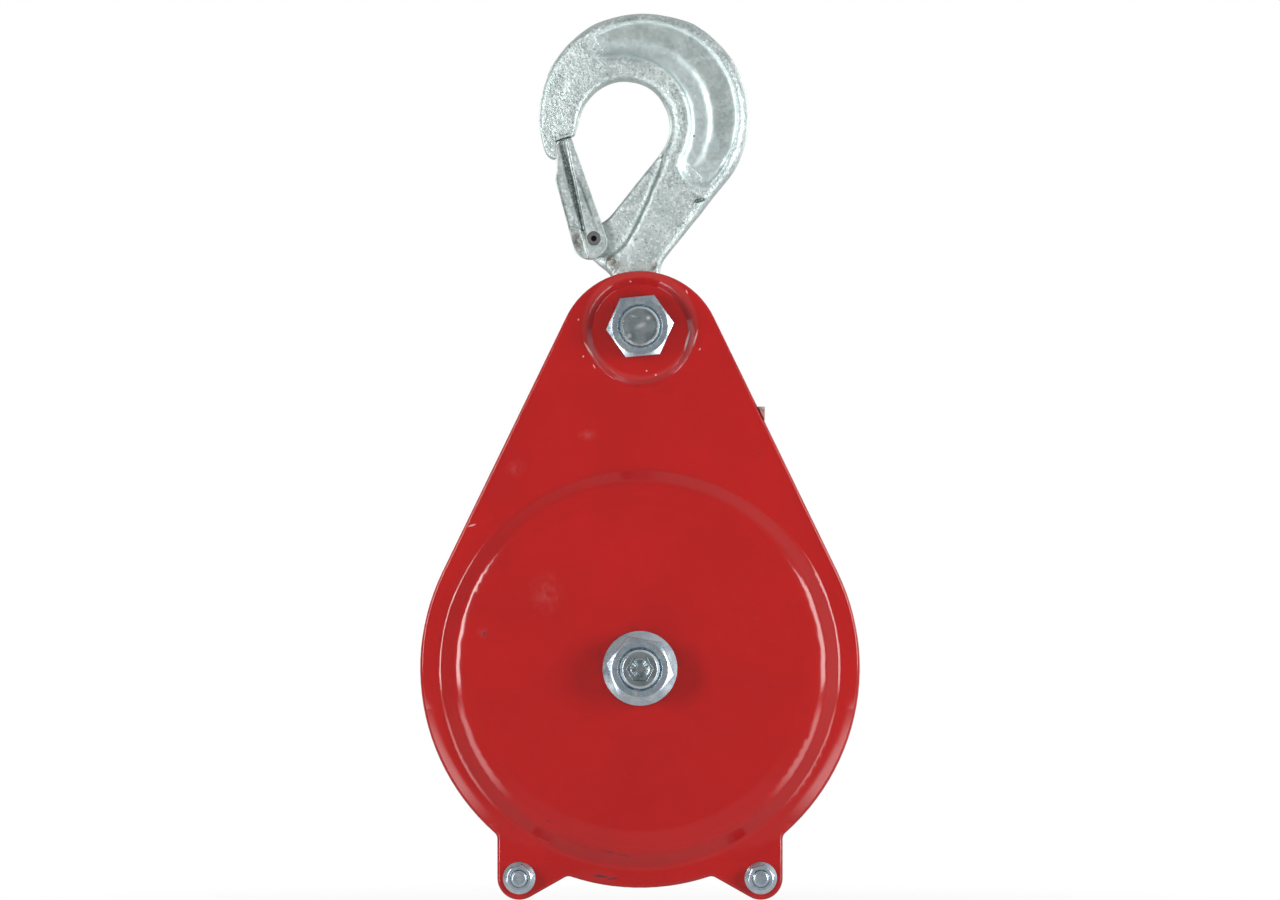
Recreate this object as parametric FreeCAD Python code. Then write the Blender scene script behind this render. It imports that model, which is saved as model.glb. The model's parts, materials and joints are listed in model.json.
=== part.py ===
import FreeCAD, Part
import math
import os

# A hook block for 16 mm wire rope with a swinging rear cheek. Millimetres, +Z up,
# +X to the right and +Y away from someone who looks at the front cheek. The pieces are
# drawn about the sheave's centre. They are then lowered as one, so that the origin lies
# where the load line, straight up from the hook bolt, meets the inside of the hook's bowl.
Vec = FreeCAD.Vector
BACK = Vec(0, 1, 0)
UP = Vec(0, 0, 1)

# Clearances
RUNNING = 0.08
SEATED = 0.02
THREAD = 0.05
REST_GAP = 0.3
STOP_GAP = 0.2
AXIAL_PLAY = 0.4

# Rope and sheave
ROPE_D = 16.0
GROOVE_R = 0.5375 * ROPE_D
GROOVE_FLARE = 22.5
SHEAVE_ROOT_R = 88.0
GROOVE_DEPTH = 22.0
SHEAVE_RIM_W = 34.0
SHEAVE_WEB_T = 12.0
HUB_R = 33.0
HUB_W = 40.0
HUB_BLEND = 5.0
RIM_LAND_ROUND = 1.5
RIM_DEPTH = 12.0
BUSH_WALL = 5.0

# Cheeks: pressed sheet with a round dish for the sheave and two ears
SHEET = 4.0
CHEEK_GAP = 28.0
CHEEK_RIM = 10.2
CROWN_R = 50.4
CROWN_BELOW_BOLT = 16.5
DISH_INSET = 2.9
DISH_DEPTH = 9.0
DISH_WALL_TILT = 42.0
DISH_TOP_BEND = 8.0
DISH_FOOT_BEND = 6.0
EDGE_ROUND = 2.0
PRESS_MARGIN = 0.2
EAR_R = 13.4
EAR_TURN = 29.9
EAR_PROUD = 13.6
EAR_INNER_RISE = 29.5
EAR_ROOT = 44.0
EAR_BLEND = 5.0

# Recessed seat for the hook bolt's nut in the front cheek
SEAT_DEPTH = 3.0
SEAT_BELOW_BOLT = 3.3
SEAT_WALL_TILT = 38.0
SEAT_BEND = 1.5

# Nuts and threads
HEX_FACE_SHARE = 0.95
HEX_CHAMFER_TILT = 30.0
FLANGE_EDGE_SHARE = 0.4
THREAD_CHAMFER = 1.5
SMALL_CHAMFER = 1.0
BORE_MOUTH_SHARE = 0.065

# Hook bolt
BOLT_UP = 208.3
BOLT_D = 24.0
BOLT_AF = 36.0
BOLT_HEAD_H = 15.0
BOLT_NUT_H = 21.5
BOLT_NUT_TURN = 5.5
BOLT_PROUD = 3.0
BOLT_DISH_R = 9.9
BOLT_DISH_SPHERE_R = 45.0
BOLT_HOLE_GAP = 0.25
WASHER_R = 22.0
WASHER_T = 4.0
HOOK_BUSH_R = 16.0
SLOT_GAP = 0.5

# Axle
AXLE_D = 34.0
AXLE_THREAD_D = 24.0
AXLE_HEAD_R = 25.0
AXLE_HEAD_T = 8.0
AXLE_HEAD_CHAMFER = 1.5
AXLE_NUT_H = 22.0
AXLE_NUT_AF = 36.0
AXLE_NUT_FLANGE_R = 22.8
AXLE_NUT_FLANGE_T = 4.0
AXLE_NUT_TURN = -10.0
AXLE_PROUD = 3.0
AXLE_SOCKET_AF = 14.0
AXLE_SOCKET_DEEP = 12.0
DRILL_TIP_TILT = 31.0
DRILL_INSET = 0.5
THRUST_R = 31.0

# Guard bolts between the ears
GUARD_D = 10.0
GUARD_NUT_AF = 15.0
GUARD_NUT_H = 10.0
GUARD_NUT_FLANGE_R = 9.9
GUARD_NUT_FLANGE_T = 2.0
GUARD_NUT_TURN = 15.0
GUARD_PROUD = 2.0
GUARD_SLEEVE_R = 9.0
GUARD_HEAD_R = 8.5
GUARD_HEAD_T = 5.2
GUARD_SOCKET_AF = 6.0
GUARD_SOCKET_DEEP = 3.0
GUARD_HOLE_GAP = 0.25

# Closing stop on the rear cheek, bent forward over the front cheek's edge
STOP_UP = 153.5
STOP_W = 20.0
STOP_TOP = 159.5
STOP_SIDE = 76.1
STOP_REACH = 1.0
STOP_ROOT = 6.0

# Hook, measured from the middle of its eye to the side and up
EYE_R = 30.0
EYE_T = 20.0
BOWL_R = 27.2
BOWL_SIDE = -9.4
BOWL_UP = 122.6
BACK_R = 64.5
BACK_SIDE = 2.4
BACK_UP = 128.4
SHANK_LEAN = 38.77
SHANK_T = 24.0
BOWL_T = 27.0
TIP_T = 17.0
SHANK_T_UP = 62.0
BOWL_T_UP = 92.0
EYE_T_UP = 38.0
TIP_TAPER_SIDE = -18.0
NECK_R = 12.0
HEEL_BLEND = 6.0
HEEL_FALL = 39.6
THROAT_LEAN = 18.5
TIP_R = 7.9
HOOK_ROUND = 7.5
LIP_T = 10.9
LEDGE_BELOW_BOWL = 4.5

# Crescent shaped hollow in each face of the hook, with a raised field beside its channel
HOLLOW_R = 57.0
HOLLOW_INNER_R = 42.0
HOLLOW_INNER_SIDE = -10.5
HOLLOW_INNER_UP = 124.2
HOLLOW_DEEP = 3.0
HOLLOW_START = 122.0
HOLLOW_END = -47.0
HOLLOW_INNER_START = 108.0
HOLLOW_INNER_END = -30.0
HOLLOW_CAP = 4.0
HOLLOW_END_CAP = 6.5
FIELD_R = 48.0
FIELD_SIDE = -5.0
FIELD_UP = 125.5
FIELD_START = 113.0
FIELD_END = -36.0
FIELD_TOP_FADE = 108.0
FIELD_LOW_FADE = -22.0
FIELD_DEEP = 1.6

# Thin side band of the hook that the latch's legs pass over
BAND_TOP = (15.5, 104.0)
BAND_UPPER = (5.2, 79.0)
BAND_MIDDLE = (-4.6, 57.8)
BAND_LOWER = (-11.5, 47.9)
BAND_LOW = (-21.0, 41.0)

# Latch and its pin, the pin measured from the middle of the hook's eye
PIN_SIDE = -28.2
PIN_UP = 53.9
PIN_D = 8.0
PIN_HOLE_D = 3.4
PIN_HOLE_DEEP = 7.0
LUG_R = 10.7
LUG_T = 14.0
LUG_BLEND = 8.0
LATCH_TIP_GAP = 4.8
LATCH_T = 24.0
LATCH_TIP_T = 16.0
LATCH_TAPER_FROM = 16.0
LATCH_TIP_W = 4.6
LATCH_HEEL_R = 10.6
LATCH_HEEL_DROP = 1.5
LATCH_HEEL_SIDE = -2.8
LATCH_BACK = -12.2
LATCH_BACK_TO = 41.0
LATCH_CORNER = 2.0
LATCH_GROOVE_W = 3.0
LATCH_GROOVE_DEEP = 2.0
LATCH_GROOVE_SIDE = -4.9
LATCH_GROOVE_FROM = 8.0
LATCH_STEP_SIDE = -6.3
LATCH_STEP_FROM = 8.7
LATCH_STEP_RISE = 2.6
LATCH_STEP_DEEP = 2.0
LATCH_WEB_AT = 17.1
LATCH_WEB_LOW = -2.8
LATCH_WEB_HIGH = 3.2
LATCH_FACE_GAP = 0.4

# Torsion spring of the latch
SPRING_WIRE_D = 1.6
SPRING_R = 5.5
SPRING_TURNS = 2.5
SPRING_PITCH = 1.9
SPRING_SLOT_W = 8.6
SPRING_SLOT_R = 7.4
SPRING_ARM = 11.0

# Worked out from the sizes above
GAP_HALF = CHEEK_GAP / 2
CHEEK_OUT = GAP_HALF + SHEET
DISH_IN = GAP_HALF + DISH_DEPTH
DISH_OUT = DISH_IN + SHEET
SEAT_IN = GAP_HALF - SEAT_DEPTH
SEAT_OUT = CHEEK_OUT - SEAT_DEPTH
EYE = Vec(0, 0, BOLT_UP)
PIN = EYE + Vec(PIN_SIDE, 0, PIN_UP)
BOWL = EYE + Vec(BOWL_SIDE, 0, BOWL_UP)
HOOK_BACK = EYE + Vec(BACK_SIDE, 0, BACK_UP)
LOAD_POINT = Vec(0, 0, BOWL.z + math.sqrt(BOWL_R ** 2 - BOWL.x ** 2))
LIP = Vec(HOOK_BACK.x - BACK_R + LIP_T, 0, BOWL.z - LEDGE_BELOW_BOWL)
LATCH_REACH = (LIP - PIN).Length - LATCH_TIP_GAP
LATCH_LEAN = math.degrees(math.asin((PIN.x - LIP.x - STOP_GAP - LATCH_TIP_W) / LATCH_REACH))
SHEAVE_R = SHEAVE_ROOT_R + GROOVE_DEPTH
DISH_TOP_R = SHEAVE_R - DISH_INSET
DISH_SLOPE = math.radians(DISH_WALL_TILT)
DISH_BENDS = DISH_TOP_BEND + SHEET + DISH_FOOT_BEND
DISH_RUN = (DISH_DEPTH - DISH_BENDS * (1 - math.cos(DISH_SLOPE))) / math.sin(DISH_SLOPE)
DISH_FOOT_R = DISH_TOP_R + DISH_BENDS * math.sin(DISH_SLOPE) + DISH_RUN * math.cos(DISH_SLOPE)
CHEEK_R = DISH_FOOT_R + CHEEK_RIM
CROWN_UP = BOLT_UP - CROWN_BELOW_BOLT
SEAT_R = CROWN_R - CROWN_BELOW_BOLT + SEAT_BELOW_BOLT - EDGE_ROUND - PRESS_MARGIN
SIDE_TILT = math.asin((CHEEK_R - CROWN_R) / CROWN_UP)
SIDE_NORMAL = Vec(math.cos(SIDE_TILT), 0, math.sin(SIDE_TILT))
SIDE_DOWN = Vec(math.sin(SIDE_TILT), 0, -math.cos(SIDE_TILT))
FAR = 400.0


def unit(degrees):
    """Unit vector in the plane of the cheeks, turned up from +X."""
    angle = math.radians(degrees)
    return Vec(math.cos(angle), 0, math.sin(angle))


def loop(start, *legs):
    """Closed wire. A leg is an end point, or a point on an arc and its end point."""
    edges = []
    here = start
    for leg in legs:
        if isinstance(leg, tuple):
            edges.append(Part.Arc(here, leg[0], leg[1]).toShape())
            here = leg[1]
        else:
            edges.append(Part.LineSegment(here, leg).toShape())
            here = leg
    if (here - start).Length > 1e-6:
        edges.append(Part.LineSegment(here, start).toShape())
    return Part.Wire(edges)


def prism(wire, front, back):
    """Solid between two depths, from a wire drawn in the plane Y = 0."""
    face = Part.Face(wire)
    face.translate(Vec(0, front, 0))
    return face.extrude(Vec(0, back - front, 0))


def disc(middle, radius, front, back):
    """Round solid along Y between two depths."""
    base = Vec(middle.x, front, middle.z)
    return Part.makeCylinder(radius, back - front, base, BACK)


def tube(middle, outer, inner, front, back):
    """Round solid along Y with a hole through it."""
    return disc(middle, outer, front, back).cut(disc(middle, inner, front - 1, back + 1))


def turned(profile):
    """Solid turned about the Y axis from a wire of radius (X) against depth (Y)."""
    face = Part.Face(profile)
    return face.revolve(Vec(0, 0, 0), BACK, 360)


def at(radius, depth):
    """Point of a turned profile."""
    return Vec(radius, depth, 0)


def hexagon(middle, flats, front, back, turn):
    """Six sided prism along Y, with a corner at the given turn from +X."""
    corner = flats / math.sqrt(3)
    points = [middle + unit(turn + 60 * i) * corner for i in range(6)]
    return prism(loop(*points), front, back)


def blend(centre, radius, line_point, outward, along, blend_r):
    """Hollow arc that joins a circle to a line: its ends on the line and circle, and a middle."""
    aside = (line_point - centre).dot(outward) + blend_r
    ahead = math.sqrt((radius + blend_r) ** 2 - aside ** 2)
    hub = centre + outward * aside + along * ahead
    on_line = hub - outward * blend_r
    on_circle = centre + (hub - centre) * (radius / (radius + blend_r))
    middle = (on_line - hub) + (on_circle - hub)
    middle.normalize()
    return on_line, hub + middle * blend_r, on_circle


def edges_at_depth(shape, depth):
    """Edges that lie wholly in the plane at one depth."""
    flat = []
    for edge in shape.Edges:
        box = edge.BoundBox
        if abs(box.YMin - depth) < 1e-4 and abs(box.YMax - depth) < 1e-4:
            flat.append(edge)
    return flat


def pressed_disc(foot_r, depth, tilt, top_bend, foot_bend):
    """Pressed sheet that rises from its inner face at Y = 0, and its outer radius."""
    slope = math.radians(tilt)
    outer_top = top_bend + SHEET
    outer_foot = foot_bend + SHEET
    run = (depth - (outer_top + foot_bend) * (1 - math.cos(slope))) / math.sin(slope)
    top_r = foot_r - (outer_top + foot_bend) * math.sin(slope) - run * math.cos(slope)
    top = at(top_r, depth - top_bend)
    foot = at(foot_r, SHEET + foot_bend)
    half = at(math.sin(slope / 2), math.cos(slope / 2))
    full = at(math.sin(slope), math.cos(slope))
    flat = at(0, 1)
    rim = foot_r + PRESS_MARGIN
    profile = loop(
        at(0, depth + SHEET),
        top + flat * outer_top,
        (top + half * outer_top, top + full * outer_top),
        foot - full * foot_bend,
        (foot - half * foot_bend, foot - flat * foot_bend),
        at(rim, SHEET),
        at(rim, 0),
        foot - flat * outer_foot,
        (foot - half * outer_foot, foot - full * outer_foot),
        top + full * top_bend,
        (top + half * top_bend, top + flat * top_bend),
        at(0, depth),
    )
    return turned(profile), rim


def guard_place(side):
    """Middle of the guard bolt on one side, -1 for the left one and 1 for the right one."""
    return unit(side * EAR_TURN - 90) * (CHEEK_R + EAR_PROUD)


def ear(side):
    """One lower ear of a cheek, as a flat piece that runs into the round part."""
    bolt = guard_place(side)
    rise = math.radians(EAR_INNER_RISE)
    inward = Vec(-side * math.cos(rise), 0, math.sin(rise))
    under = Vec(-side * math.sin(rise), 0, -math.cos(rise))
    outer_foot = bolt + Vec(side * EAR_R, 0, 0)
    inner_foot = bolt + under * EAR_R
    low = bolt + (Vec(side, 0, 0) + under).normalize() * EAR_R
    top_z = -math.sqrt(CHEEK_R ** 2 - outer_foot.x ** 2)
    inner_top = inner_foot + inward * EAR_ROOT
    wire = loop(
        Vec(outer_foot.x, 0, top_z),
        outer_foot,
        (low, inner_foot),
        inner_top,
        Vec(inner_top.x, 0, top_z),
    )
    return prism(wire, GAP_HALF, CHEEK_OUT)


def ear_corners(shape):
    """The sharp edges where the ears meet the round part."""
    corners = []
    for edge in shape.Edges:
        box = edge.BoundBox
        if box.YLength < SHEET - 0.01 or box.XLength > 0.01 or box.ZLength > 0.01:
            continue
        radius = math.hypot(box.Center.x, box.Center.z)
        if abs(radius - CHEEK_R) < 0.01 and box.Center.z < 0:
            corners.append(edge)
    return corners


def cheek_blank():
    """Pear shaped sheet with its dish, the dish standing out towards +Y."""
    crown = Vec(0, 0, CROWN_UP)
    side_top = crown + SIDE_NORMAL * CROWN_R
    side_low = SIDE_NORMAL * CHEEK_R
    pear = loop(
        side_top,
        (crown + UP * CROWN_R, Vec(-side_top.x, 0, side_top.z)),
        Vec(-side_low.x, 0, side_low.z),
        (UP * -CHEEK_R, side_low),
    )
    sheet = prism(pear, GAP_HALF, CHEEK_OUT).fuse([ear(-1), ear(1)]).removeSplitter()
    sheet = sheet.makeFillet(EAR_BLEND, ear_corners(sheet))
    sheet = sheet.makeFillet(EDGE_ROUND, edges_at_depth(sheet, CHEEK_OUT))
    dish, rim = pressed_disc(
        DISH_FOOT_R, DISH_DEPTH, DISH_WALL_TILT, DISH_TOP_BEND, DISH_FOOT_BEND,
    )
    dish.translate(BACK * GAP_HALF)
    sheet = sheet.cut(disc(Vec(0, 0, 0), rim, 0, FAR))
    return sheet.fuse(dish).removeSplitter()


def make_front_cheek():
    """Cheek that the axle, the hook bolt and the guard bolts are bolted to."""
    blank = cheek_blank()
    seat_middle = Vec(0, 0, BOLT_UP - SEAT_BELOW_BOLT)
    seat, rim = pressed_disc(SEAT_R, SEAT_DEPTH, SEAT_WALL_TILT, SEAT_BEND, SEAT_BEND)
    seat = seat.mirror(Vec(0, 0, 0), BACK)
    seat.translate(seat_middle + BACK * CHEEK_OUT)
    blank = blank.cut(disc(seat_middle, rim, 0, FAR)).fuse(seat).removeSplitter()
    blank = blank.cut(disc(EYE, BOLT_D / 2 + BOLT_HOLE_GAP, 0, FAR))
    blank = blank.cut(disc(Vec(0, 0, 0), AXLE_THREAD_D / 2 + BOLT_HOLE_GAP, 0, FAR))
    for side in (-1, 1):
        blank = blank.cut(disc(guard_place(side), GUARD_D / 2 + GUARD_HOLE_GAP, 0, FAR))
    return blank.mirror(Vec(0, 0, 0), BACK)


def closing_stop():
    """Strip of the rear cheek bent forward over the front cheek's right edge."""
    along = (CROWN_UP + CROWN_R * math.sin(SIDE_TILT) - STOP_UP) / math.cos(SIDE_TILT)
    side_top = Vec(0, 0, CROWN_UP) + SIDE_NORMAL * CROWN_R
    start = side_top + SIDE_DOWN * (along - STOP_W / 2)

    def corner(out, depth):
        return start + SIDE_NORMAL * out + BACK * depth

    outer = REST_GAP + SHEET
    bend_middle = corner(REST_GAP, GAP_HALF)
    bend_mid = bend_middle + (SIDE_NORMAL + BACK).normalize() * SHEET
    wire = loop(
        corner(-STOP_ROOT, CHEEK_OUT),
        corner(REST_GAP, CHEEK_OUT),
        (bend_mid, corner(outer, GAP_HALF)),
        corner(outer, -CHEEK_OUT - STOP_REACH),
        corner(REST_GAP, -CHEEK_OUT - STOP_REACH),
        corner(REST_GAP, GAP_HALF),
        corner(-STOP_ROOT, GAP_HALF),
    )
    strip = Part.Face(wire).extrude(SIDE_DOWN * STOP_W)
    corner_box = Part.makeBox(FAR, FAR, FAR, Vec(STOP_SIDE - FAR, -FAR / 2, STOP_TOP - FAR))
    return strip.common(corner_box)


def make_rear_cheek():
    """Cheek that swings about the axle, with an open slot for the hook bolt."""
    blank = cheek_blank().fuse(closing_stop()).removeSplitter()
    slot_half = BOLT_D / 2 + SLOT_GAP
    slot = tube(Vec(0, 0, 0), BOLT_UP + slot_half, BOLT_UP - slot_half, 0, CHEEK_OUT + 1)
    upper_left = Part.makeBox(FAR, FAR, FAR, Vec(-FAR, -FAR / 2, CHEEK_R))
    slot = slot.common(upper_left)
    blank = blank.cut(slot).cut(disc(EYE, slot_half, 0, FAR))
    return blank.cut(disc(Vec(0, 0, 0), AXLE_D / 2 + RUNNING, 0, FAR))


def make_sheave():
    """Turned sheave with a flared rope groove, a web and a hub."""
    flare = math.radians(GROOVE_FLARE)
    rim_half = SHEAVE_RIM_W / 2
    web_half = SHEAVE_WEB_T / 2
    groove = at(SHEAVE_ROOT_R + GROOVE_R, 0)
    wall_foot = groove + at(-math.sin(flare), math.cos(flare)) * GROOVE_R
    wall_top_y = wall_foot.y + (SHEAVE_R - RIM_LAND_ROUND - wall_foot.x) * math.tan(flare)
    rim_under = SHEAVE_ROOT_R - RIM_DEPTH
    ease = HUB_BLEND * (1 - math.sqrt(0.5))

    def half(sign):
        return [
            at(SHEAVE_R - RIM_LAND_ROUND, sign * wall_top_y),
            at(SHEAVE_R, sign * (wall_top_y + RIM_LAND_ROUND)),
            at(SHEAVE_R - RIM_LAND_ROUND, sign * rim_half),
            at(SHEAVE_ROOT_R, sign * rim_half),
            at(rim_under, sign * web_half),
            at(HUB_R + HUB_BLEND, sign * web_half),
            at(HUB_R + ease, sign * (web_half + ease)),
            at(HUB_R, sign * (web_half + HUB_BLEND)),
            at(HUB_R, sign * HUB_W / 2),
            at(AXLE_D / 2 + BUSH_WALL, sign * HUB_W / 2),
        ]

    front = half(-1)
    rear = half(1)
    profile = loop(
        Vec(wall_foot.x, -wall_foot.y, 0),
        (at(SHEAVE_ROOT_R, 0), wall_foot),
        rear[0],
        rear[1],
        rear[2],
        rear[3],
        rear[4],
        rear[5],
        (rear[6], rear[7]),
        rear[8],
        rear[9],
        front[9],
        front[8],
        front[7],
        (front[6], front[5]),
        front[4],
        front[3],
        front[2],
        front[1],
        front[0],
    )
    return turned(profile)


def make_sheave_bush():
    """Bronze bush pressed into the sheave's hub."""
    outer = AXLE_D / 2 + BUSH_WALL - SEATED
    return tube(Vec(0, 0, 0), outer, AXLE_D / 2 + RUNNING, -HUB_W / 2, HUB_W / 2)


def thrust_washer(front, back):
    """Flat ring between the hub and a cheek."""
    return tube(Vec(0, 0, 0), THRUST_R, AXLE_D / 2 + RUNNING, front, back)


def make_axle():
    """Shouldered axle, clamped to the front cheek, with a round head behind the rear cheek."""
    radius = AXLE_D / 2
    thread = AXLE_THREAD_D / 2
    end = -DISH_OUT - AXLE_NUT_H - AXLE_PROUD
    head = DISH_OUT + REST_GAP
    profile = loop(
        at(0, end),
        at(thread - THREAD_CHAMFER, end),
        at(thread, end + THREAD_CHAMFER),
        at(thread, -DISH_IN),
        at(radius, -DISH_IN),
        at(radius, head),
        at(AXLE_HEAD_R, head),
        at(AXLE_HEAD_R, head + AXLE_HEAD_T - AXLE_HEAD_CHAMFER),
        at(AXLE_HEAD_R - AXLE_HEAD_CHAMFER, head + AXLE_HEAD_T),
        at(0, head + AXLE_HEAD_T),
    )
    floor = end + AXLE_SOCKET_DEEP
    socket = hexagon(Vec(0, 0, 0), AXLE_SOCKET_AF, end - 1, floor, 0)
    drill_r = AXLE_SOCKET_AF / 2 - DRILL_INSET
    drill_tip = drill_r * math.tan(math.radians(DRILL_TIP_TILT))
    tip = turned(loop(at(0, end), at(drill_r, end), at(drill_r, floor), at(0, floor + drill_tip)))
    return turned(profile).cut(socket).cut(tip)


def hex_chamfer(middle, flats, front, back, both):
    """Turned envelope that takes the corners off a hexagon's front face, or both faces."""
    corner = flats / math.sqrt(3)
    inner = flats / 2 * HEX_FACE_SHARE
    drop = (corner - inner) * math.tan(math.radians(HEX_CHAMFER_TILT))
    far_end = [at(corner, back), at(0, back)]
    if both:
        far_end = [at(corner, back - drop), at(inner, back), at(0, back)]
    shape = turned(loop(at(0, front), at(inner, front), at(corner, front + drop), *far_end))
    shape.translate(middle)
    return shape


def nut_bore(middle, thread, front, seat):
    """Threaded hole of a nut, with the bevel at its front that starts the thread."""
    radius = thread / 2 + THREAD
    mouth = thread * BORE_MOUTH_SHARE
    bevel = turned(loop(at(0, front), at(radius + mouth, front), at(0, front + radius + mouth)))
    bevel.translate(middle)
    return disc(middle, radius, front - 1, seat + 1).fuse(bevel)


def flange_nut(middle, thread, flats, height, flange_r, flange_t, seat, turn):
    """Flanged nut whose washer face lies at the seat's depth, standing out to the front."""
    front = seat - height
    body = hexagon(middle, flats, front, seat, turn)
    body = body.common(hex_chamfer(middle, flats, front, seat, False))
    cone_r = flats / 2
    edge_t = flange_t * FLANGE_EDGE_SHARE
    skirt = turned(loop(
        at(0, seat),
        at(flange_r, seat),
        at(flange_r, seat - edge_t),
        at(cone_r, seat - flange_t - edge_t),
        at(0, seat - flange_t - edge_t),
    ))
    skirt.translate(middle)
    body = body.fuse(skirt).removeSplitter()
    return body.cut(nut_bore(middle, thread, front, seat))


def make_axle_flange_nut():
    """Flange nut that clamps the front cheek to the axle's shoulder."""
    return flange_nut(
        Vec(0, 0, 0), AXLE_THREAD_D, AXLE_NUT_AF, AXLE_NUT_H,
        AXLE_NUT_FLANGE_R, AXLE_NUT_FLANGE_T, -DISH_OUT, AXLE_NUT_TURN,
    )


def make_hook_bolt():
    """Hexagon bolt from behind, through the rear cheek's slot, the bush and the front cheek."""
    head = CHEEK_OUT + WASHER_T
    end = -SEAT_OUT - BOLT_NUT_H - BOLT_PROUD
    shaft = disc(EYE, BOLT_D / 2, end, head)
    shaft = shaft.makeChamfer(THREAD_CHAMFER, edges_at_depth(shaft, end))
    cap = hexagon(EYE, BOLT_AF, head, head + BOLT_HEAD_H, 0)
    envelope = hex_chamfer(Vec(0, 0, 0), BOLT_AF, -head - BOLT_HEAD_H, -head, False)
    envelope = envelope.mirror(Vec(0, 0, 0), BACK)
    envelope.translate(EYE)
    ball_back = math.sqrt(BOLT_DISH_SPHERE_R ** 2 - BOLT_DISH_R ** 2)
    ball = Part.makeSphere(BOLT_DISH_SPHERE_R, EYE + BACK * (end - ball_back))
    return shaft.fuse(cap.common(envelope)).removeSplitter().cut(ball)


def make_hook_bolt_nut():
    """Plain hexagon nut in the front cheek's recessed seat."""
    front = -SEAT_OUT - BOLT_NUT_H
    body = hexagon(EYE, BOLT_AF, front, -SEAT_OUT, BOLT_NUT_TURN)
    body = body.common(hex_chamfer(EYE, BOLT_AF, front, -SEAT_OUT, True))
    return body.cut(nut_bore(EYE, BOLT_D, front, -SEAT_OUT))


def make_hook_bush():
    """Distance bush that the hook turns on, with a flange against the rear cheek."""
    body = disc(EYE, HOOK_BUSH_R, -SEAT_IN, SEAT_IN)
    body = body.fuse(disc(EYE, WASHER_R, SEAT_IN, GAP_HALF)).removeSplitter()
    return body.cut(disc(EYE, BOLT_D / 2 + RUNNING, -FAR, FAR))


def make_hook_bolt_washer():
    """Plain washer under the bolt head, over the rear cheek's slot."""
    return tube(EYE, WASHER_R, BOLT_D / 2 + BOLT_HOLE_GAP, CHEEK_OUT, CHEEK_OUT + WASHER_T)


def guard_bolt(middle):
    """Bolt with a low round head that ends just short of the rear cheek."""
    head_end = GAP_HALF - REST_GAP
    head = disc(middle, GUARD_HEAD_R, head_end - GUARD_HEAD_T, head_end)
    end = -CHEEK_OUT - GUARD_NUT_H - GUARD_PROUD
    shaft = disc(middle, GUARD_D / 2, end, head_end - GUARD_HEAD_T)
    shaft = shaft.makeChamfer(SMALL_CHAMFER, edges_at_depth(shaft, end))
    socket = hexagon(middle, GUARD_SOCKET_AF, head_end - GUARD_SOCKET_DEEP, head_end + 1, 0)
    return shaft.fuse(head).removeSplitter().cut(socket)


def guard_sleeve(middle):
    """Spacer tube that sets the cheeks apart and keeps the rope in."""
    back = GAP_HALF - REST_GAP - GUARD_HEAD_T
    return tube(middle, GUARD_SLEEVE_R, GUARD_D / 2 + GUARD_HOLE_GAP, -GAP_HALF, back)


def guard_nut(middle):
    """Small flange nut on the front cheek's ear."""
    return flange_nut(
        middle, GUARD_D, GUARD_NUT_AF, GUARD_NUT_H,
        GUARD_NUT_FLANGE_R, GUARD_NUT_FLANGE_T, -CHEEK_OUT, GUARD_NUT_TURN,
    )


def hook_outline():
    """Closed outline of the forged hook, with its eye, lug, bowl and tip."""
    lean = math.radians(SHANK_LEAN)
    outward = Vec(math.cos(lean), 0, -math.sin(lean))
    climb = Vec(math.sin(lean), 0, math.cos(lean))
    fall = math.radians(HEEL_FALL)
    heel_out = Vec(-math.sin(fall), 0, -math.cos(fall))
    heel_back = Vec(-math.cos(fall), 0, math.sin(fall))
    throat = math.radians(THROAT_LEAN)
    back_foot = HOOK_BACK + outward * BACK_R
    bowl_foot = BOWL + outward * BOWL_R
    heel_top = PIN + heel_out * LUG_R
    neck = blend(EYE, EYE_R, back_foot, outward, climb, NECK_R)
    heel = blend(EYE, EYE_R, heel_top, heel_out, heel_back, HEEL_BLEND)
    lug = blend(PIN, LUG_R, bowl_foot, outward * -1, climb, LUG_BLEND)
    inner_side = Vec(-math.cos(throat), 0, math.sin(throat))
    inner_down = Vec(-math.sin(throat), 0, -math.cos(throat))
    bowl_left = BOWL + inner_side * BOWL_R
    aside = (bowl_left - HOOK_BACK).dot(inner_side) + TIP_R
    ahead = math.sqrt((BACK_R - TIP_R) ** 2 - aside ** 2)
    tip = HOOK_BACK + inner_side * aside + inner_down * ahead
    tip_out = (tip - HOOK_BACK).normalize()
    return loop(
        back_foot,
        neck[0],
        (neck[1], neck[2]),
        (EYE - UP * EYE_R, heel[2]),
        (heel[1], heel[0]),
        heel_top,
        (PIN + unit(180 - HEEL_FALL) * LUG_R, lug[2]),
        (lug[1], lug[0]),
        bowl_foot,
        (BOWL + UP * BOWL_R, bowl_left),
        tip - inner_side * TIP_R,
        (tip + inner_down * TIP_R, tip + tip_out * TIP_R),
        (HOOK_BACK + UP * BACK_R, back_foot),
    )


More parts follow.
